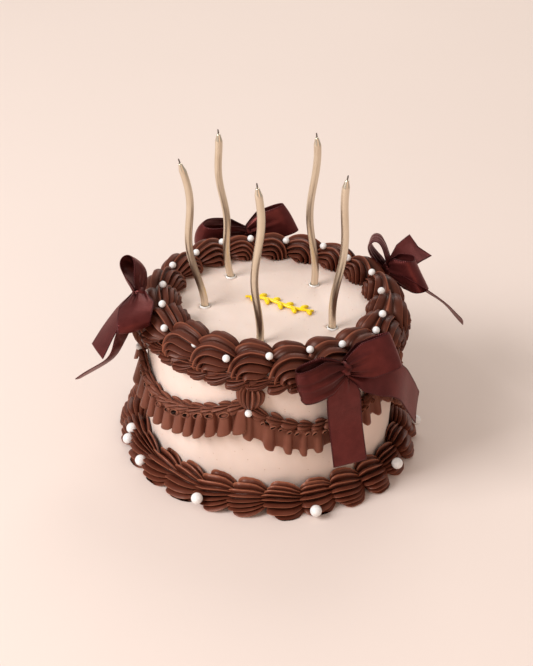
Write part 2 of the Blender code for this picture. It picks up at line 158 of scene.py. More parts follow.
def chocolateButtercream(name, low, high, lip, gloss):  # soft sheen; a painted highlight along the thin crests, painted shade in the smooth grooves
    made, tree, shader, place = newMaterial(name, {
        "IOR": 1.46, "Specular IOR Level": gloss, "Specular Tint": fromHex("#F0CFC0"),
        "Subsurface Weight": 0.06, "Subsurface Radius": (0.002, 0.0008, 0.0005), "Subsurface Scale": 0.5,
    })
    cloud = noise(tree, place, 14.3, 2)
    ridge = pieceMark(tree, "ridge")   # 0 in a groove, 0.6 on a band, 1 along its lip: drives the painted shade and highlight
    # painted highlight: the lips blend towards the lighter lip colour
    edge = remap(tree, ridge, 0.66, 1.0, 0.0, 0.9)
    colour = mix(tree, edge, shades(tree, cloud, low, high, 0.3, 0.7), fromHex(lip))
    # painted shade: the grooves are darkened
    valleyShade = remap(tree, ridge, -0.3, 0.42, 0.0, 1.0)
    fine = bump(tree, noise(tree, place, 1.43, 3), 0.12, 0.0005)
    tree.links.new(mix(tree, 1.0, colour, valleyShade, "MULTIPLY"), shader.inputs["Base Color"])
    tree.links.new(remap(tree, cloud, 0.0, 1.0, 0.31, 0.46), shader.inputs["Roughness"])
    tree.links.new(fine, shader.inputs["Normal"])
    return made


def maroonSatin():  # double-faced polyester satin: a smooth gleam, and a dark firm selvage on both edges
    made, tree, shader, place = newMaterial("maroonSatinRibbon", {
        "Roughness": 0.31, "IOR": 1.5, "Specular IOR Level": 0.55, "Specular Tint": fromHex("#E08C82"),
        "Metallic": 0.4,
    })
    body = shades(tree, noise(tree, place, 6.25, 4), "#50211F", "#602A28", 0.3, 0.72)
    far = reckon(tree, "ABSOLUTE", pieceMark(tree, "across"))   # 1 at both edges
    selvage = remap(tree, far, 0.9, 0.95, 0.0, 0.7)
    colour = mix(tree, selvage, body, fromHex("#3C161A"))
    shade = remap(tree, pieceMark(tree, "fold"), 0.0, 1.0, 0.12, 1.0)   # painted shade: darker inside the folds and near the knot
    turns = reckon(tree, "MULTIPLY", pieceMark(tree, "along"), 2 * math.pi / (1.1 * mm))   # thread by thread
    picks = reckon(tree, "SINE", turns)
    weave = bump(tree, noise(tree, place, 0.77, 2), 0.3, 0.0003)   # drawn coarser than real threads
    edge = bump(tree, reckon(tree, "MULTIPLY", picks, selvage), 0.5, 0.0003, weave)
    tree.links.new(mix(tree, 1.0, colour, shade, "MULTIPLY"), shader.inputs["Base Color"])
    tree.links.new(edge, shader.inputs["Normal"])
    return made


def plainFinish(name, low, high, size, strength, roughness):  # two close shades over a slight unevenness
    made, tree, shader, place = newMaterial(name, {"Roughness": roughness})
    cloud = noise(tree, place, size, 3)
    tree.links.new(shades(tree, cloud, low, high, 0.35, 0.65), shader.inputs["Base Color"])
    tree.links.new(bump(tree, cloud, strength, 0.0005), shader.inputs["Normal"])
    return made


def champagneWax():  # candle wax under a thin metallic lacquer, a soft mirror with faint dips
    settings = {"Roughness": 0.28, "Metallic": 1.0}
    made, tree, shader, place = newMaterial("champagneMetallicWax", settings)
    tint = shades(tree, noise(tree, place, 8.33, 2), "#D2C2AA", "#E2D5C1")
    tree.links.new(tint, shader.inputs["Base Color"])
    tree.links.new(bump(tree, noise(tree, place, 3.85, 2), 0.05, 0.0004), shader.inputs["Normal"])
    return made


beige = beigeButtercream()
# low and high are the butter's own tones; the third colour is the painted highlight along the lips
chocolate = chocolateButtercream("pipedChocolateButtercream", "#4C2419", "#5A2E21", "#9A5A42", 0.36)
# a touch lighter, because it catches more light from the floor
baseChocolate = chocolateButtercream("baseChocolateButtercream", "#572A1D", "#653526", "#A86549", 0.45)
# whipped with more air, so paler and duller
swagChocolate = chocolateButtercream("swagChocolateButtercream", "#6A3C2E", "#784838", "#96604A", 0.25)
satin = maroonSatin()
wax = champagneWax()
wickThread = plainFinish("waxedCottonWick", "#4A3F38", "#6A5C50", 0.556, 0.4, 0.7)   # dull and fibrous
whitePlastic = plainFinish("whiteCandleCup", "#EDEAE6", "#F6F4F1", 3.33, 0.05, 0.35)   # moulded, satin
yellowIcing = plainFinish("yellowPipedIcing", "#F4CC00", "#FBDA08", 2.5, 0.1, 0.32)   # glossy royal icing
sugarPearl = plainFinish("sugarPearlGlaze", "#E4DFDB", "#F2EFEC", 2.0, 0.06, 0.22)   # polished, with lustre
paleFloor = plainFinish("paleFloor", "#EAD9CE", "#EBDACF", 333, 0.0, 0.85)   # matte card
print("materials made")


# Mesh helpers
def polar(radius, degrees, height):
    turn = np.radians(degrees)
    return np.stack(np.broadcast_arrays(radius * np.cos(turn), radius * np.sin(turn), height), axis=-1)


def wobble(points, size, seed):  # smooth unevenness from about -1 to 1, its bumps about size apart
    rng = np.random.default_rng(seed)
    total = np.zeros(points.shape[:-1])
    for _ in range(7):
        way = rng.normal(size=3)
        way *= 2 * math.pi / (size * rng.uniform(0.8, 1.7) * np.linalg.norm(way))
        total += np.sin(points @ way + rng.uniform(0, 2 * math.pi))
    return total / 3.2


def closedSkin(grid, *marks):  # each row of points is a closed ring, and both ends are filled
    rows, cols, _ = grid.shape
    points = np.concatenate([grid.reshape(-1, 3), grid[:1].mean(axis=1), grid[-1:].mean(axis=1)])
    values = [np.concatenate([m.reshape(-1), [m[0].mean(), m[-1].mean()]]) for m in marks]
    here = np.arange(rows * cols).reshape(rows, cols)
    beside = np.roll(here, -1, axis=1)
    quads = np.stack([here[:-1], beside[:-1], beside[1:], here[1:]], axis=-1).reshape(-1, 4)
    middle = np.full(cols, rows * cols)
    ends = np.concatenate([np.stack([beside[0], here[0], middle], axis=-1),
                           np.stack([here[-1], beside[-1], middle + 1], axis=-1)])
    return points, quads.tolist() + ends.tolist(), values


def makePiece(name, skins, material, markNames=(), nodes=()):
    points, faces, marks, base = [], [], [[] for _ in markNames], 0
    for skinPoints, skinFaces, values in skins:
        points.append(skinPoints)
        faces += [[base + i for i in face] for face in skinFaces]
        for kept, value in zip(marks, values):
            kept.append(value)
        base += len(skinPoints)
    mesh = bpy.data.meshes.new(name)
    mesh.from_pydata((np.concatenate(points) * mm).tolist(), [], faces)
    for markName, kept in zip(markNames, marks):
        mesh.attributes.new(markName, "FLOAT", "POINT").data.foreach_set("value", np.concatenate(kept))
    bm = bmesh.new()
    bm.from_mesh(mesh)
    bmesh.ops.recalc_face_normals(bm, faces=bm.faces)
    bm.to_mesh(mesh)
    bm.free()
    mesh.shade_smooth()
    mesh.materials.append(material)
    piece = bpy.data.objects.new(name, mesh)
    bpy.context.scene.collection.objects.link(piece)
    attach(piece, "root")
    if nodes:
        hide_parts(*nodes)
    return piece


# Cake body
gap = 0.3
cakeSet = {
    "radius": 80.0, "height": 94.3, "edge": 2.6, "sides": 240, "socket": 3.75,
    "wallDips": 0.22, "topDips": 0.12,   # how deep the scraper's waves go
}
wall = cakeSet["radius"] + 1.4 * gap
top = cakeSet["height"] + gap
candleSet = {
    "radius": 2.35, "sink": 11, "tip": 5, "wick": 3, "wickRadius": 0.5,
    "cupRadius": 3.4, "cupRise": 0.8, "cupDepth": 12, "cupBore": 2.9,
    # share of the tip's length, radius there
    "point": ((0.12, 2.28), (0.3, 2.02), (0.6, 1.6), (0.85, 1.25), (0.97, 1.05), (1.0, 0.75)),
    # foot, lean, wave, wave length, wave phase, height
    "each": (
        ((-42.8, -6.1), -0.137, 2.36, 72.5, 1.29, 98.6),
        ((-28.5, 34.3), -0.110, -1.24, 56.8, 0.0, 102.0),
        ((-7.2, -47.5), -0.026, 1.84, 74.6, 1.18, 103.5),
        ((26.2, 27.6), -0.037, 2.07, 82.4, 0.87, 104.9),
        ((36.8, -26.7), 0.034, -1.56, 74.8, 0.19, 101.4),
    ),
}


def cakeBody(s):
    turns = np.linspace(0, 360, s["sides"], endpoint=False)
    profile = [(s["radius"] * f, 0.0) for f in (0.2, 0.6, 0.97)]
    profile += [(s["radius"], z) for z in np.linspace(0, s["height"] - s["edge"], 18)]
    for bend in np.radians((18, 36, 54, 72, 90)):
        inward, down = s["edge"] * (1 - math.cos(bend)), s["edge"] * (1 - math.sin(bend))
        profile.append((s["radius"] - inward, s["height"] - down))
    profile += [(r, s["height"]) for r in np.linspace(74, 4, 15)]
    rows = np.stack([polar(r, turns, z) for r, z in profile])
    wave = wobble(rows, 46, 3)
    out = rows / np.maximum(np.linalg.norm(rows[..., :2], axis=-1), 1)[..., None]
    onWall = np.clip((rows[..., 2] - 1) / 6, 0, 1) * (np.linalg.norm(rows[..., :2], axis=-1) > 79.9)
    rows[..., :2] += (s["wallDips"] * (wave - 1) * onWall)[..., None] * out[..., :2]
    onTop = (rows[..., 2] > s["height"] - 0.01) * 1.0
    rows[..., 2] -= s["topDips"] * (1 + wobble(rows, 30, 4)) * onTop
    body = makePiece("cakeBody", [closedSkin(rows)], beige, nodes=["cake_body"])
    sockets = []
    for foot, *_ in candleSet["each"]:
        ring = np.linspace(0, 360, 32, endpoint=False)
        low = s["height"] - candleSet["cupDepth"] - gap
        tube = np.stack([polar(s["socket"], ring, z) + (*foot, 0) for z in (low, s["height"] + 2)])
        sockets.append(closedSkin(tube))
    cutter = makePiece("sockets", sockets, beige)
    cut = body.modifiers.new("sockets", "BOOLEAN")
    cut.operation = "DIFFERENCE"
    cut.object = cutter
    bpy.context.view_layer.update()
    whole = bpy.data.meshes.new_from_object(body.evaluated_get(bpy.context.evaluated_depsgraph_get()))
    body.modifiers.clear()
    body.data = whole
    bpy.data.objects.remove(cutter, do_unlink=True)


cakeBody(cakeSet)
print("cake body made")


# Piped shells
def bandColumns(low, high, crestAt):  # where a section is sampled, closer together at the crests
    inBand = [crestAt * f for f in (0, 0.1, 0.28, 0.5, 0.72, 0.9, 0.97, 1.0)]
    inBand.append(crestAt + (1 - crestAt) * 0.5)
    every = [k + x for k in range(int(math.floor(low)), int(math.ceil(high)) + 1) for x in inBand]
    return np.array([low] + [y for y in every if low + 0.02 < y < high - 0.02] + [high])


def bandDepth(y, crestAt):  # 0 on a crest, 1 in a groove: a broad rounded band that ends in a thin steep lip
    x = y % 1
    rise = 0.72 * np.clip(1 - x / crestAt, 0, 1) ** 2.6 + 0.28 * np.clip(1 - x / crestAt, 0, 1) ** 0.8
    fall = np.clip((x - crestAt) / (1 - crestAt), 0, 1) ** 0.8
    return np.where(x <= crestAt, rise, fall)


def ridgeLightAndShade(y, crestAt):  # marks painted shade and highlight: 0 in a groove, 0.6 on a band, 1 along its lip
    lip = np.clip(1 - np.abs(y % 1 - crestAt) / 0.085, 0, 1)
    return 0.6 - 0.6 * bandDepth(y, crestAt) + 0.4 * lip


topSet = {
    "shells": 19, "start": 252.5, "middle": 72.7, "halfWidth": 15.3, "height": 12.7, "wrap": 5.4,
    "lowest": -8.6, "bandsOut": 6, "bandsIn": 5, "depth": 0.3, "crestAt": 0.8, "rows": 46,
    "outerTurn": 116, "innerTurn": 90,   # degrees that the ridges reach down from the top on each side
    # the rows turn about a low pivot: lean in degrees, then the pivot's place, height and width there
    "leans": (246, 212, 180, 140, 90, 60, 28),
    "feet": (0.5, 0.5, 0.5, 0.5, 0.5, 0.64, 0.86),
    "tall": (0.66, 0.94, 1.08, 1.06, 1.0, 0.9, 0.6),
    "wide": (0.62, 0.88, 1.0, 1.03, 1.0, 0.91, 0.62),
    # below 1 the ridges spread to both sides as they curl down
    "blunt": (0.3, 0.36, 0.45, 0.7, 1.0, 1.0, 1.0),
}


def topJunction(number):  # the hand-piped shells stray from even spacing
    even = topSet["start"] + 360 * number / topSet["shells"]
    turn = math.radians(even)
    return even + 2.0 * math.sin(turn - math.radians(53)) + 2.6 * math.sin(2 * turn)


def curledShell(s, length, seed):  # ridges rise from the tail, run over the head and curl down and under it
    rng = np.random.default_rng(seed)
    run = np.linspace(0, 1, s["rows"])
    marks = (np.array(s["leans"]) - s["leans"][0]) / (s["leans"][-1] - s["leans"][0])
    degrees = s["leans"][0] + (s["leans"][-1] - s["leans"][0]) * run
    lean = np.radians(degrees + 5 * rng.uniform(-1, 1) * np.sin(math.pi * run))
    foot = length * np.interp(run, marks, s["feet"])
    tall = s["height"] * rng.uniform(0.94, 1.05) * np.interp(run, marks, s["tall"])
    wide = s["halfWidth"] * rng.uniform(0.94, 1.03) * np.interp(run, marks, s["wide"])
    first = s["crestAt"]   # both halves start from one lip along the top
    outer = bandColumns(first, first + s["bandsOut"], s["crestAt"])[::-1]
    inner = bandColumns(first, first + s["bandsIn"], s["crestAt"])[1:]
    y = np.concatenate([outer, inner])
    outerShare, innerShare = (outer - first) / s["bandsOut"], (inner - first) / s["bandsIn"]
    section = np.radians(np.concatenate([90 - outerShare ** 0.8 * s["outerTurn"],
                                         90 + innerShare ** 0.84 * s["innerTurn"]]))
    section = section + 0.06 * np.sin(2 * section + rng.uniform(0, 6.28))
    band = np.floor(y).astype(int)
    band[len(outer):] += 20   # the inner half has bands of its own
    uneven = rng.uniform(0.7, 1.25, 40)[band]
    reach = 1 - s["depth"] * uneven * bandDepth(y, s["crestAt"])
    blunt = np.interp(run, marks, s["blunt"])
    aside = np.sign(np.cos(section))[None] * np.abs(np.cos(section))[None] ** blunt[:, None]
    out = wide[:, None] * aside * reach[None]
    up = tall[:, None] * (np.sin(section) * reach)[None]
    along = foot[:, None] + np.maximum(up, 0) * np.cos(lean)[:, None]
    rise = np.where(section > 0, np.sin(lean)[:, None], np.maximum(np.sin(lean)[:, None], 0.6))
    high = 1.4 + up * rise
    side = np.clip(out / s["halfWidth"], 0, 1)
    high = high - s["wrap"] * side * side * (3 - 2 * side)
    waver = 0.5 * wobble(np.stack([along, out, high], axis=-1), 16, seed)
    along = along + 0.6 * rng.uniform(-1, 1) * out / s["halfWidth"] + waver
    mark = np.broadcast_to(ridgeLightAndShade(y, s["crestAt"]), out.shape).copy()
    return along, out, high, mark


def topBorder(s):
    skins = []
    for k in range(s["shells"]):
        start = topJunction(k)
        degreesPerMm = math.degrees(1 / s["middle"])
        length = (topJunction(k + 1) - start) / degreesPerMm
        along, out, high, mark = curledShell(s, length, 100 + k)
        radius = s["middle"] + out
        high = np.where(radius < wall, np.maximum(high, -0.2), np.maximum(high, s["lowest"]))
        radius = np.where(high < -0.2, np.maximum(radius, wall), radius)
        grid = polar(radius, start + along * degreesPerMm, top + high)
        grid[..., 2] += 0.45 * wobble(grid, 22, 200 + k) * np.clip(high / 4, 0, 1)
        foot = along[:, :1]
        low = polar(np.full_like(foot, wall), start + foot * degreesPerMm, top + high[:, :1])
        rim = polar(np.full_like(foot, wall), start + foot * degreesPerMm, np.full_like(foot, top - 0.2))
        grid = np.concatenate([grid, rim, low], axis=1)
        # the rows against the wall are marked as groove, so they get the painted shade
        mark = np.concatenate([mark, 0 * foot, 0 * foot], axis=1)
        skins.append(closedSkin(grid, mark))
    return makePiece("topShellBorder", skins, chocolate, ["ridge"], ["top_border"])


def fanShell(s, length, seed):  # ridges fan out from a narrow tail to a broad head with a rolled lip
    rng = np.random.default_rng(seed)
    lipRows, bodyRows = 9, s["bodyRows"]
    roll = np.radians(np.linspace(-75, 90, lipRows))
    lip = s["lip"]
    b = np.linspace(0, 1, bodyRows + 1)[1:]
    along = np.concatenate([[lip * 1.1], lip - lip * np.cos(roll), lip + (length - lip) * b])
    size = np.interp(b, np.linspace(0, 1, len(s["sizes"])), s["sizes"])
    reach = s["reach"] * rng.uniform(0.92, 1.06)
    length = length * rng.uniform(0.95, 1.06)
    span = np.concatenate([[0.3 * reach], reach - lip + lip * np.sin(roll), reach * size])
    headShare = np.concatenate([np.zeros(lipRows + 1), b])
    y = bandColumns(0.0, s["bands"], s["crestAt"])
    section = np.radians(s["from"] + (s["to"] - s["from"]) * y / s["bands"])
    section = section + 0.11 * np.sin(3 * section + rng.uniform(0, 6.28))
    uneven = rng.uniform(0.65, 1.3, s["bands"] + 2)[np.floor(y).astype(int)]
    taper = np.interp(headShare, (0, 0.25, 0.75, 1), (1.35, 1.05, 0.9, 0.5))   # deepest in the head
    ridge = 1 - s["depth"] * taper[:, None] * (uneven * bandDepth(y, s["crestAt"]))[None]
    shift = np.array(s["tailMiddle"]) - s["headMiddle"]
    middle = np.array(s["headMiddle"]) + headShare[:, None] ** 1.3 * shift
    turned = section[None] + s["twist"] * rng.uniform(-1, 1) * headShare[:, None]
    out = middle[:, :1] + span[:, None] * ridge * np.cos(turned) * s["outScale"]
    up = middle[:, 1:] + span[:, None] * ridge * np.sin(turned)
    crestLightAndShade = ridgeLightAndShade(y, s["crestAt"])
    atCrest = 1 - bandDepth(y, s["crestAt"])
    lead = np.exp(-headShare / 0.14)[:, None] * atCrest * s["tips"] * uneven   # the teeth of the head
    along = along[:, None] - lead + np.zeros_like(out)
    side = 2 * y / s["bands"] - 1
    bent = s["bow"] * side ** 2 + length * 0.04 * np.sin(2 * section + rng.uniform(0, 6.28))
    along += bent * (1 - headShare)[:, None]
    return along, out, up, np.broadcast_to(crestLightAndShade, out.shape).copy()


baseSet = {
    "shells": 26, "start": 243.2, "middle": 89, "overlap": 1.22, "reach": 17.6, "outScale": 1.03,
    "lip": 4.6, "bow": 7.0, "tips": 2.9, "twist": 0.3, "depth": 0.35, "crestAt": 0.74,
    "bands": 8, "from": 98, "to": -8, "headMiddle": (0.6, 0.4), "tailMiddle": (4.2, 5.6),
    "bodyRows": 20, "sizes": (1, 0.96, 0.85, 0.64, 0.38, 0.16),
}


def baseBorder(s):
    skins = []
    pitch = 360 / s["shells"]
    degreesPerMm = math.degrees(1 / s["middle"])
    rng = np.random.default_rng(17)
    for k in range(s["shells"]):
        start = s["start"] + pitch * k + rng.uniform(-0.9, 0.9)
        along, out, up, mark = fanShell(s, pitch / degreesPerMm * s["overlap"], 300 + k)
        grid = polar(wall + np.maximum(out, 0), start + along * degreesPerMm, np.maximum(up, 0.15))
        corner = polar(np.full((len(grid), 1), wall), start + along[:, :1] * degreesPerMm, 0.15)
        grid = np.concatenate([grid, corner], axis=1)
        # the row against the wall is marked as groove, so it gets the painted shade
        skins.append(closedSkin(grid, np.concatenate([mark, 0 * mark[:, :1]], axis=1)))
    return makePiece("baseShellBorder", skins, baseChocolate, ["ridge"], ["base_border"])


upperSet = {
    "shells": 43, "start": 1.8, "middle": 84, "overlap": 1.26, "reach": 6.1, "outScale": 1.2,
    "lip": 2.4, "bow": 4.2, "tips": 2.2, "twist": 0.2, "depth": 0.38, "crestAt": 0.72,
    "bands": 7, "from": 90, "to": -90, "headMiddle": (0.0, 86.2), "tailMiddle": (2.2, 91.5),
    "bodyRows": 11, "sizes": (1, 0.95, 0.78, 0.56, 0.34, 0.2),
}


def upperSideBorder(s):
    skins = []
    pitch = 360 / s["shells"]
    degreesPerMm = math.degrees(1 / s["middle"])
    rng = np.random.default_rng(23)
    for k in range(s["shells"]):
        start = s["start"] + pitch * (k + rng.uniform(-0.07, 0.07))
        along, out, up, mark = fanShell(s, pitch / degreesPerMm * s["overlap"], 400 + k)
        up = up + rng.uniform(-0.35, 0.35)
        grid = polar(wall + np.maximum(out, 0), start + along * degreesPerMm, up)
        skins.append(closedSkin(grid, mark))
    makePiece("upperShellRow", skins, chocolate, ["ridge"], ["upper_side_border"])


rimShells = topBorder(topSet)
footShells = baseBorder(baseSet)
upperSideBorder(upperSet)
print("shell borders piped")


# Swags
swagSet = {
    "count": 5, "start": 262, "endGap": 0.7, "fluteLead": 2.8, "fluteShift": 0.05,
    "low": 57, "lowAt": -0.22, "leftRise": 13, "rightRise": 20, "offsets": (2, -3, 0, 1, -1),
    "strandHeight": 7, "ruffleLength": 13.5, "tuck": 1.6, "thickness": 1.3,
    "broadFolds": 12, "fluteFolds": 10, "broadTabs": (False, True, False, True, True),
}
strandSet = {
    "middle": 83, "step": (8.2, 9.4), "reach": 6.0, "outScale": 1.05, "lip": 1.9, "bow": 3.8,
    "tips": 2.6, "twist": 0.2, "depth": 0.42, "crestAt": 0.7, "bands": 5, "length": 10.2,
    "from": 90, "to": -90, "headMiddle": (0.0, 0.4), "tailMiddle": (0.8, 0.4), "bodyRows": 10,
    "sizes": (1, 0.82, 0.6, 0.4, 0.26, 0.18),
}
dropSet = {
    "top": 83.4, "length": 17.0, "reach": 9.0, "outScale": 1.0, "lip": 3.2, "bow": 4.5,
    "tips": 2.0, "twist": 0.0, "depth": 0.26, "crestAt": 0.6, "bands": 9, "from": 0, "to": 180,
    "headMiddle": (0.0, 0.0), "tailMiddle": (0.0, 0.6), "bodyRows": 16,
    "sizes": (1, 0.96, 0.84, 0.64, 0.42, 0.22),
}


def swagTop(number, share):  # height of the strand's upper edge, share running from -1 to 1 along the swag
    s = swagSet
    low = s["low"] + s["offsets"][number]
    right = s["rightRise"] * np.clip((share - s["lowAt"]) / (1 - s["lowAt"]), 0, None) ** 1.4
    left = s["leftRise"] * np.clip((s["lowAt"] - share) / (1 + s["lowAt"]), 0, None) ** 1.7
    return low + right + left


def strand(number):
    s = swagSet
    span = 360 / s["count"]
    degreesPerMm = math.degrees(1 / strandSet["middle"])
    rng = np.random.default_rng(500 + number)
    skins, at, k = [], 2.2, 0
    while at < span - 3.0:
        along, out, up, mark = fanShell(strandSet, strandSet["length"], 520 + 40 * number + k)
        degrees = at + along * degreesPerMm
        share = np.clip(2 * degrees / span - 1, -1, 1)
        height = swagTop(number, share) - 0.5 * s["strandHeight"] + up + rng.uniform(-0.3, 0.3)
        grid = polar(wall + np.maximum(out, 0), s["start"] + span * number + degrees, height)
        skins.append(closedSkin(grid, mark))
        at += rng.uniform(*strandSet["step"]) * degreesPerMm
        k += 1
    return skins


def ruffle(number):
    s = swagSet
    span = 360 / s["count"]
    broad = s["broadTabs"][number]
    folds = s["broadFolds"] if broad else s["fluteFolds"]
    run = np.linspace(0, 1, 18 * folds + 1)
    share = 2 * run - 1
    lead = s["endGap"] if broad else -s["fluteLead"]
    degrees = s["start"] + span * number + lead + run * (span - s["endGap"] - lead)
    rng = np.random.default_rng(700 + number)
    phase = run * folds + 0.14 * np.sin(2 * math.pi * run * 2.3 + rng.uniform(0, 6))
    if not broad:
        phase += s["fluteShift"]
    x = np.abs(2 * (phase % 1) - 1)   # 0 at the middle of a fold, 1 at its crease
    jitter = rng.uniform(0.8, 1.2, folds + 3)[np.floor(phase).astype(int)]
    waist = swagTop(number, share) - s["strandHeight"] + s["tuck"]
    rings = []
    downs = np.concatenate([np.linspace(0, 1, 11), np.linspace(1, 0, 9)])
    for i, down in enumerate(downs):
        if broad:   # flat tabs that flare towards the hem, with narrow creases between
            fold = 1 / (1 + np.exp((x - 0.52 - 0.45 * down) / 0.04))
            away = 1.8 + 0.6 * down + (2.8 + 3.4 * down) * fold * jitter * (1 - 0.45 * x * x)
            drop = 0.8 * (1 - fold) + 1.0 * x ** 6
        else:       # narrow flutes that stand out from flat panels
            fold = np.exp(-((x / (0.42 + 0.12 * down)) ** 8))
            away = 2.6 + 1.0 * down + (1.5 + 2.3 * down) * fold * jitter * (1 - 1.1 * x * x)
            drop = (1 - fold) * (1.0 + 0.9 * x) + 2.2 * np.minimum(x, 0.5) ** 3
        back = i >= 11
        away = away - (s["thickness"] if back else 0)
        hem = 0.3 if back and down > 0.9 else 0
        height = waist - (s["ruffleLength"] + s["tuck"]) * down + drop * down + hem
        rings.append(polar(wall + np.maximum(away, 0.05), degrees, height))
    grid = np.stack(rings, axis=1)
    # painted highlight: the hem is marked as a lip, the rest as band
    edge = np.broadcast_to(0.6 + 0.35 * np.exp(-((1 - downs) / 0.03) ** 2), grid.shape[:2]).copy()
    return closedSkin(grid, edge)


def eyelets(number):  # the open mouths of the tabs, between strand and ruffle
    s = swagSet
    rng = np.random.default_rng(740 + number)
    skins = []
    span = 360 / s["count"]
    broad = s["broadTabs"][number]
    folds = s["broadFolds"] if broad else 2 * s["fluteFolds"]
    for fold in range(1, folds - 1):
        degrees = s["endGap"] + (fold + 0.45 + rng.uniform(-0.15, 0.15)) * (span - 2 * s["endGap"]) / folds
        height = float(swagTop(number, 2 * degrees / span - 1)) - s["strandHeight"] + rng.uniform(0.2, 0.9)
        size = rng.uniform(1.7, 2.5) if broad else rng.uniform(0.8, 1.3)
        ring = np.linspace(0, 360, 16, endpoint=False)
        rows = []
        for scale, away in ((0.7, 1.0), (1.0, 3.0), (1.12, 5.6), (1.02, 6.0), (0.85, 5.4), (0.6, 2.6)):
            side = size * scale * np.cos(np.radians(ring)) * 1.25
            rise = size * scale * np.sin(np.radians(ring)) * 0.8 + 0.45 * side
            turned = s["start"] + span * number + degrees + np.degrees(side / wall)
            rows.append(polar(wall + away, turned, height + rise))
        grid = np.stack(rows)
        # painted shade inside the mouths (marked below a groove) and a painted highlight on their rims
        mark = np.broadcast_to(np.array((0.5, 0.5, 0.9, 1.0, -0.2, -0.3))[:, None], grid.shape[:2]).copy()
        skins.append(closedSkin(grid, mark))
    return skins


def drop(number):
    s = dropSet
    degrees = swagSet["start"] + 360 / swagSet["count"] * number
    along, out, up, mark = fanShell(s, s["length"], 800 + number)
    grid = polar(wall + np.maximum(up, 0), degrees + np.degrees(out / wall), s["top"] - along)
    return closedSkin(grid, mark)


for number in range(swagSet["count"]):
    node = f"swag_{number + 1}"
    made = (("Ruffle", [ruffle(number)] + eyelets(number), node), ("Strand", strand(number), node),
            ("Drop", [drop(number)], f"swag_drop_{number + 1}"))
    for name, skins, replaced in made:
        makePiece(f"swag{name}{number + 1}", skins, swagChocolate, ["ridge"], [replaced])
print("swags piped")


# Sugar pearls
pearlSet = {
    "small": 2.25, "large": 3.6, "sunk": 0.8, "onDrops": (4.6, -0.2, 67.4),
    "above": 125, "step": 0.1,   # where a pearl starts its way to the shells, and how finely it moves
    # degrees round the rim, distance from the middle, pressed in deeper by
    "top": (
        (251.5, 82.5, 0), (269, 79.5, 0), (287, 75.5, 0), (303, 75.5, 0.5), (324.5, 76, 0),
        (332, 74.5, 0), (355.5, 67, 0), (20, 66.5, 0), (43, 65.5, 0), (61.5, 67, 0.5),
        (84, 68, 0), (104, 69.5, 0.5), (120.5, 70.5, 0), (138.5, 69.5, 0.5), (157.5, 71.5, 1),
        (186, 69.5, 0), (205.5, 74.5, 0), (216, 80, 2), (234, 77, 5),
    ),
    # degrees round the foot, height, pressed in deeper by
    "base": (
        (195, 10.5, 6), (197.5, 5.5, 4.5), (213, 6, 3), (245.5, 8.5, 0), (288, 5.5, 0), (328, 11.5, 0),
        (1, 8.5, 1.5), (39, 9, 0), (75, 6, 0), (112, 10, 0), (148, 6, 0),
    ),
}


def ball(centre, radius):
    rows = []
    ring = np.linspace(0, 360, 28, endpoint=False)
    for lift in np.radians(np.linspace(-84, 84, 15)):
        rows.append(polar(radius * math.cos(lift), ring, radius * math.sin(lift)) + centre)
    return closedSkin(np.stack(rows))


def surfaceOf(piece):
    corners = [corner.co for corner in piece.data.vertices]
    return BVHTree.FromPolygons(corners, [tuple(face.vertices) for face in piece.data.polygons])


def resting(start, way, surface, reach, deeper):  # slides a ball until the icing takes it, then presses it in
    for run in np.arange(0, pearlSet["above"], pearlSet["step"]):
        if surface.find_nearest(Vector((start + way * run) * mm), reach * mm)[0] is not None:
            break
    return start + way * (run + deeper)


def pearls(s, rim, foot):
    rimSurface, footSurface = surfaceOf(rim), surfaceOf(foot)
    balls = []
    for degrees, radius, deeper in s["top"]:
        start, down = polar(radius, degrees, s["above"]), np.array((0, 0, -1.0))
        centre = resting(start, down, rimSurface, s["small"] * s["sunk"], deeper)
        balls.append(ball(centre, s["small"]))
    makePiece("topPearls", balls, sugarPearl, nodes=["top_border"])
    balls = []
    for degrees, height, deeper in s["base"]:
        start, inward = polar(s["above"], degrees, height), polar(-1.0, degrees, 0.0)
        centre = resting(start, inward, footSurface, s["large"] * s["sunk"], deeper)
        balls.append(ball(centre, s["large"]))
    makePiece("basePearls", balls, sugarPearl, nodes=["base_border"])
    out, turn, height = s["onDrops"]
    for number in range(swagSet["count"]):
        degrees = swagSet["start"] + 360 / swagSet["count"] * number + turn
        skin = ball(polar(wall + out, degrees, height), s["small"])
        node = f"swag_drop_{number + 1}"
        makePiece(f"dropPearl{number + 1}", [skin], sugarPearl, nodes=[node])


pearls(pearlSet, rimShells, footShells)
print("pearls set")


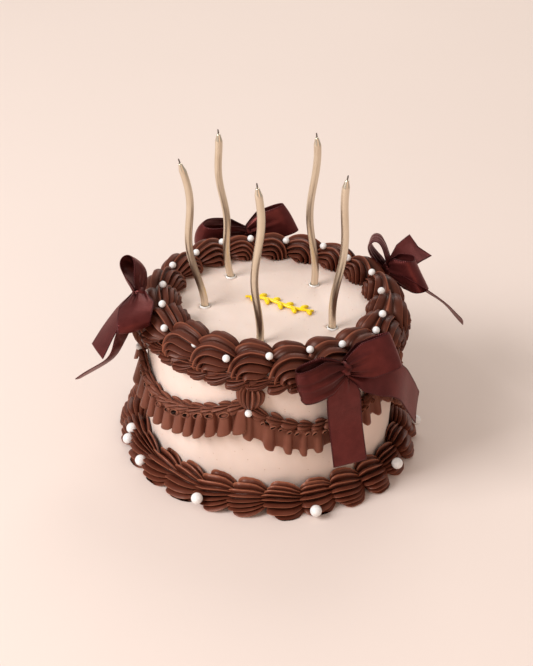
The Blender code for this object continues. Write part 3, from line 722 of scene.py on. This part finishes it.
# Candles
def candles(s):
    ring = np.linspace(0, 360, 28, endpoint=False)
    for number, (foot, lean, wave, waveLength, phase, tall) in enumerate(s["each"], 1):
        def middle(height):
            up = max(height, 0)
            aside = lean * up + wave * (math.sin(2 * math.pi * up / waveLength + phase) - math.sin(phase))
            return np.array((foot[0] + aside, foot[1], cakeSet["height"] + height))

        shoulder = tall - s["wick"] - s["tip"]
        heights = [-s["sink"], -s["sink"] / 2] + list(np.linspace(0, shoulder, 70))
        rows = [polar(s["radius"], ring, 0) + middle(h) for h in heights]
        for share, radius in s["point"]:
            rows.append(polar(radius, ring, 0) + middle(shoulder + s["tip"] * share))
        skin = closedSkin(np.stack(rows))
        makePiece(f"candle{number}", [skin], wax, nodes=[f"candle_{number}"])
        stations = ((tall - s["wick"] + gap, 1.0), (tall - 1.5, 0.95), (tall - 0.4, 0.85), (tall, 0.45))
        rows = [polar(s["wickRadius"] * f, ring[::3], 0) + middle(h) for h, f in stations]
        skin = closedSkin(np.stack(rows))
        makePiece(f"wick{number}", [skin], wickThread, nodes=[f"wick_{number}"])
        floor = -s["sink"] - gap
        outer, bore = s["cupRadius"], s["cupBore"]
        profile = ((0.6, -s["cupDepth"]), (outer, -s["cupDepth"]), (outer, 0.35), (3.28, 0.68),
                   (3.12, s["cupRise"]), (3.0, 0.72), (bore, 0.45), (bore, floor), (0.6, floor))
        base = np.array((*foot, cakeSet["height"]))
        skin = closedSkin(np.stack([polar(r, ring, z) + base for r, z in profile]))
        makePiece(f"candleCup{number}", [skin], whitePlastic, nodes=[f"candle_cup_{number}"])


candles(candleSet)
print("candles stood")


# Ribbon bows
ribbonSet = {
    "width": 22, "thickness": 0.5, "columns": 29, "knot": 4.4,
    # width at the knot as a share, and how far from the knot it is full: mm in a tail, a share in a loop
    "gathered": 0.34, "gather": 17, "spreadBy": 0.4,
    "pleat": 2.2, "loopStart": 0.45,   # depth of the folds, and where round the loop it starts
}
bowSet = {
    "front_bow": {
        "knot": (42.2, -83.2, 100.5),
        "loops": (
            ((17.2, -93.4, 92.7), (5.4, -2.7, -21.5), 4.6, 0.05, 1.9),
            ((71.5, -64.5, 103.5), (9.0, -8.0, -18.5), 5.4, 0.0, 0.6),
        ),
        "tails": (
            (((42.5, -85.2, 84.0), (9, 4.5, 0)), ((45.5, -82.2, 60.0), (9, 4.5, 0)),
             ((50.0, -82.5, 33.0), (9.4, 4.0, -0.6))),
            (((64.0, -75.0, 90.0), (-8, -15, -8)), ((78.3, -61.5, 78.0), (-6, -18, -7)),
             ((92.3, -40.5, 47.5), (-3, -17.6, -9))),
        ),
    },
    "left_bow": {
        "knot": (-82.5, -20.5, 109.0),
        "loops": (
            ((-88.6, -2.8, 122.0), (6.1, 14.9, -14.9), 4.4, 0.0, 0.6),
            ((-82.8, -49.0, 101.6), (-9.0, -4.6, -1.0), 3.2, 0.1, 0.6),
        ),
        "tails": (
            (((-95.5, -24.0, 94.0), (8.8, -16.9, 6)), ((-106.4, -41.0, 79.0), (4.3, -19.3, -2.5))),
            (((-92.0, -36.0, 88.0), (3, 14, -12)), ((-98.6, -40.4, 74.0), (0, 16.6, -11)),
             ((-118.6, -37.1, 57.5), (-2.3, 16.3, -11.3))),
        ),
    },
    "back_bow": {
        "knot": (-20.3, 91.5, 98.5),
        "loops": (
            ((-52.5, 82.0, 101.0), (-5.7, 5.6, -15.5), 5.0, 0.1, 0.9),
            ((9.9, 102.0, 107.0), (10.6, -1.5, -16.8), 5.0, 0.0, 0.8),
        ),
        "tails": (
            (((-30.0, 94.0, 82.0), (19, 6, 0)), ((-35.0, 94.5, 52.0), (19, 7, 2))),
            (((-5.0, 97.0, 82.0), (20, 1, 0)), ((-1.0, 98.5, 55.0), (20, 0, -3))),
        ),
    },
    "right_bow": {
        "knot": (75.6, 47.0, 98.0),
        "loops": (
            ((64.9, 60.5, 113.0), (2.0, 21.0, -3.5), 4.0, 0.0, 1.3),
            ((96.0, 38.5, 98.5), (10.4, -6.4, -18.0), 6.4, 0.0, 0.9),
        ),
        "tails": (
            (((89.0, 59.0, 104.0), (7, -14, -5)), ((98.0, 68.5, 106.0), (12.5, -13.9, -7.5))),
            (((98.0, 34.5, 91.0), (3, 14.5, -10)), ((111.0, 25.5, 86.0), (3.4, 14.0, -10)),
             ((123.5, 16.0, 78.0), (4.1, 12.7, -12.2))),
        ),
        "notches": (4.5, 0),
    },
}


def curveThrough(points, steps):
    points = np.array(points, float)
    held = np.concatenate([[2 * points[0] - points[1]], points, [2 * points[-1] - points[-2]]])
    made = []
    for at in np.linspace(0, len(points) - 1, steps + 1):
        k = min(int(at), len(points) - 2)
        t = at - k
        a, b, c, d = held[k:k + 4]
        square, cube = 2 * a - 5 * b + 4 * c - d, 3 * b - a - 3 * c + d
        made.append(0.5 * (2 * b + (c - a) * t + square * t * t + cube * t ** 3))
    return np.array(made)


def unit(vectors):
    return vectors / np.linalg.norm(vectors, axis=-1, keepdims=True)


def ribbonStrip(centres, acrosses, widths, crowns, gathers, notch, seed):  # pleated where it is gathered, with painted shade in the pleats
    s = ribbonSet
    along = unit(np.gradient(centres, axis=0))
    side = unit(acrosses - along * (acrosses * along).sum(axis=1, keepdims=True) * 0.5)
    face = unit(np.cross(along, side))
    x = np.linspace(-1, 1, s["columns"])
    rng = np.random.default_rng(seed)
    broad = np.sin(x * 3.2 * math.pi + rng.uniform(0, 6.28))
    narrow = np.sin(x * 5.4 * math.pi + rng.uniform(0, 6.28))
    pleat = 0.5 + 0.33 * broad + 0.17 * narrow
    raised = crowns[:, None] * (1 - x * x)[None] + s["pleat"] * gathers[:, None] * pleat[None]
    reach = x[None, :, None] * widths[:, None, None] / 2
    flat = centres[:, None] + side[:, None] * reach + face[:, None] * raised[..., None]
    flat = flat + face[:, None] * (0.35 * wobble(flat, 24, seed + 7))[..., None]
    ending = np.clip(np.linspace(-3, 1, len(centres)), 0, 1)
    flat = flat - along[:, None] * (notch * ending[:, None] * (1 - np.abs(x))[None])[..., None]
    half = face[:, None] * s["thickness"] / 2
    grid = np.concatenate([flat + half, (flat - half)[:, ::-1]], axis=1)
    runs = np.concatenate([[0], np.cumsum(np.linalg.norm(np.diff(centres, axis=0), axis=1))]) * mm
    acrossMark = np.broadcast_to(np.concatenate([x, x[::-1]]), grid.shape[:2]).copy()
    alongMark = np.broadcast_to(runs[:, None], grid.shape[:2]).copy()
    # painted shade: each face darker in its pleat grooves, more where the ribbon is gathered
    outsideShade = 1 - gathers[:, None] * (0.5 + 0.5 * (1 - pleat))[None]
    insideShade = 1 - gathers[:, None] * (0.5 + 0.5 * pleat)[None]
    foldShadeMark = np.concatenate([outsideShade, insideShade[:, ::-1]], axis=1)
    return closedSkin(grid, acrossMark, alongMark, foldShadeMark), runs[-1]


# Cup is how much the far end curls, and creased how far along the loop its folds and their painted shade run.
def bowLoop(knot, far, across, puff, cup, creased, seed):
    s = ribbonSet
    out = far - knot
    side = unit(across)
    bulge = unit(np.cross(out, side)) * puff
    turns = np.linspace(s["loopStart"], 2 * math.pi - s["loopStart"], 81)
    away = (1 - np.cos(turns)) / 2   # 0 at the knot, 1 at the far end
    centres = knot + out * away[:, None] + bulge * (1.5 * np.sin(turns) * away)[:, None]
    spread = s["gathered"] + (1 - s["gathered"]) * np.minimum(1, away / s["spreadBy"]) ** 0.8
    widths = s["width"] * spread * (1 - cup * away ** 3)
    crowns = 2.2 * spread * (1 - away) + 0.5 + 14 * cup * away ** 3
    # gathers sets both the pleat depth and the painted shade
    gathers = np.clip(1 - away / creased, 0, 1) ** 1.3
    return ribbonStrip(centres, np.broadcast_to(side, centres.shape), widths, crowns, gathers, 0, seed)


def bowTail(knot, stations, notch, seed):
    s = ribbonSet
    steps = 60
    centres = curveThrough([knot] + [c for c, _ in stations], steps)
    turned = [unit(np.array(across, float)) for _, across in stations]
    acrosses = curveThrough([turned[0]] + turned, steps)
    near = np.linalg.norm(centres - knot, axis=1) / s["gather"]
    widths = s["width"] * np.minimum(1, s["gathered"] + (1 - s["gathered"]) * near)
    # gathers sets both the pleat depth and the painted shade
    gathers = np.clip(1 - near, 0, 1) ** 1.2
    return ribbonStrip(centres, acrosses, widths, 0.5 + gathers, gathers, notch, seed)


def knotSkin(centre, seed):  # the tight turn of ribbon round the middle
    rows = []
    radius = ribbonSet["knot"]
    ring = np.linspace(0, 360, 40, endpoint=False)
    lifts = np.radians(np.linspace(-80, 80, 19))
    for lift in lifts:
        fold = 1 + 0.07 * np.sin(np.radians(ring) * 3 + 5 * lift + seed) + 0.05 * np.sin(lift * 9)
        rows.append(polar(radius * math.cos(lift) * fold, ring, radius * math.sin(lift)) + centre)
    grid = np.stack(rows)
    # painted shade in the knot's creases
    creaseShade = 0.6 + 0.4 * np.sin(np.radians(ring)[None] * 3 + 5 * lifts[:, None] + seed)
    return closedSkin(grid, np.zeros(grid.shape[:2]), grid[..., 2] * mm, creaseShade)


def bows():
    # fold carries the painted shade of the folds
    markNames = ["across", "along", "fold"]
    for index, (node, bow) in enumerate(bowSet.items()):
        knot = np.array(bow["knot"], float)
        name, seed = node.split("_")[0], 900 + 10 * index
        strips, length = [], 0
        for k, (far, across, *form) in enumerate(bow["loops"]):
            skin, run = bowLoop(knot, np.array(far, float), np.array(across, float), *form, seed + k)
            strips.append(skin)
            length += run
        for k, stations in enumerate(bow["tails"]):
            skin, run = bowTail(knot, stations, bow.get("notches", (0, 0))[k], seed + 5 + k)
            strips.append(skin)
            length += run
        tied = makePiece(f"{name}BowRibbon", strips, satin, markNames, [node])
        skin = knotSkin(knot, index)
        turned = makePiece(f"{name}BowKnot", [skin], satin, markNames, [node])


bows()
print("bows tied")


# Yellow piped flourish
flourishSet = {
    "length": 46, "centre": (3.8, -0.8), "turn": -19.5, "sway": 2.0, "radius": 1.5,
    "leaves": 9, "leafReach": 5.0,
}


def pipedLine(points, radii):  # a round bead of icing along a line that lies on the cake
    points = np.array(points, float)
    along = unit(np.gradient(points, axis=0))
    side = unit(np.cross(along, (0, 0, 1.0)))
    turns = np.linspace(0, 2 * math.pi, 14, endpoint=False)
    rows = []
    for p, w, r in zip(points, side, radii):
        lift = np.array((0, 0, 1.0)) * (r * 0.85 * (np.sin(turns) + 0.75))[:, None]
        rows.append(p + w * (r * np.cos(turns))[:, None] + lift)
    grid = np.stack(rows)
    grid[..., 2] = np.maximum(grid[..., 2], top - 0.15)
    return closedSkin(grid)


def flourish(s):
    turn = math.radians(s["turn"])
    ahead = np.array((math.cos(turn), math.sin(turn), 0))
    aside = np.array((-math.sin(turn), math.cos(turn), 0))
    centre = np.array((*s["centre"], top))

    def place(share, offset):
        sideways = s["sway"] * math.sin(2 * math.pi * share) + offset
        return centre + ahead * s["length"] * (share - 0.5) + aside * sideways

    shares = np.linspace(0, 1, 60)
    beads = [pipedLine([place(t, 0) for t in shares], s["radius"] * (0.55 + 0.35 * np.sin(math.pi * shares)))]
    for i in range(s["leaves"]):
        share = 0.08 + 0.84 * i / (s["leaves"] - 1)
        way = 1 if i % 2 else -1
        reach = np.linspace(0, 1, 14)
        line = [place(share + 0.07 * r, way * s["leafReach"] * r) for r in reach]
        beads.append(pipedLine(line, s["radius"] * (0.5 + 0.6 * np.sin(math.pi * (0.1 + 0.8 * reach)))))
    makePiece("yellowFlourish", beads, yellowIcing, nodes=["piped_flourish"])


flourish(flourishSet)
print("flourish piped")


# Floor and light
lightSet = {
    "floor": 7,   # half its side, in metres
    "world": ("#FBF6F2", 0.5),
    "lamps": (
        ("keyWindow", (-1.6, -0.95, 1.42), 1.1, 51, "#FCFCFF"),
        ("fillPanel", (0.9, -1.7, 0.9), 1.5, 6.0, "#FFCBA4"),
        ("backPanel", (0.2, 1.6, 1.5), 1.2, 11, "#FFFCF8"),
    ),
}


def stageAndLight(s):
    floor = bpy.data.meshes.new("floor")
    half, low = s["floor"], -gap * mm
    corners = [(-half, -half, low), (half, -half, low), (half, half, low), (-half, half, low)]
    floor.from_pydata(corners, [], [(0, 1, 2, 3)])
    floor.materials.append(paleFloor)
    plane = bpy.data.objects.new("floor", floor)
    bpy.context.scene.collection.objects.link(plane)
    world = bpy.data.worlds.new("studio")
    world.use_nodes = True
    world.node_tree.nodes["Background"].inputs["Color"].default_value = fromHex(s["world"][0])
    world.node_tree.nodes["Background"].inputs["Strength"].default_value = s["world"][1]
    bpy.context.scene.world = world
    for name, place, size, power, colour in s["lamps"]:
        lamp = bpy.data.lights.new(name, "AREA")
        lamp.size = size
        lamp.energy = power
        lamp.color = fromHex(colour)[:3]
        made = bpy.data.objects.new(name, lamp)
        made.location = place
        made.rotation_euler = (Vector((0, 0, 0.06)) - Vector(place)).to_track_quat("-Z", "Y").to_euler()
        bpy.context.scene.collection.objects.link(made)
    bpy.context.scene.view_settings.view_transform = "Standard"


stageAndLight(lightSet)
print("stage lit")
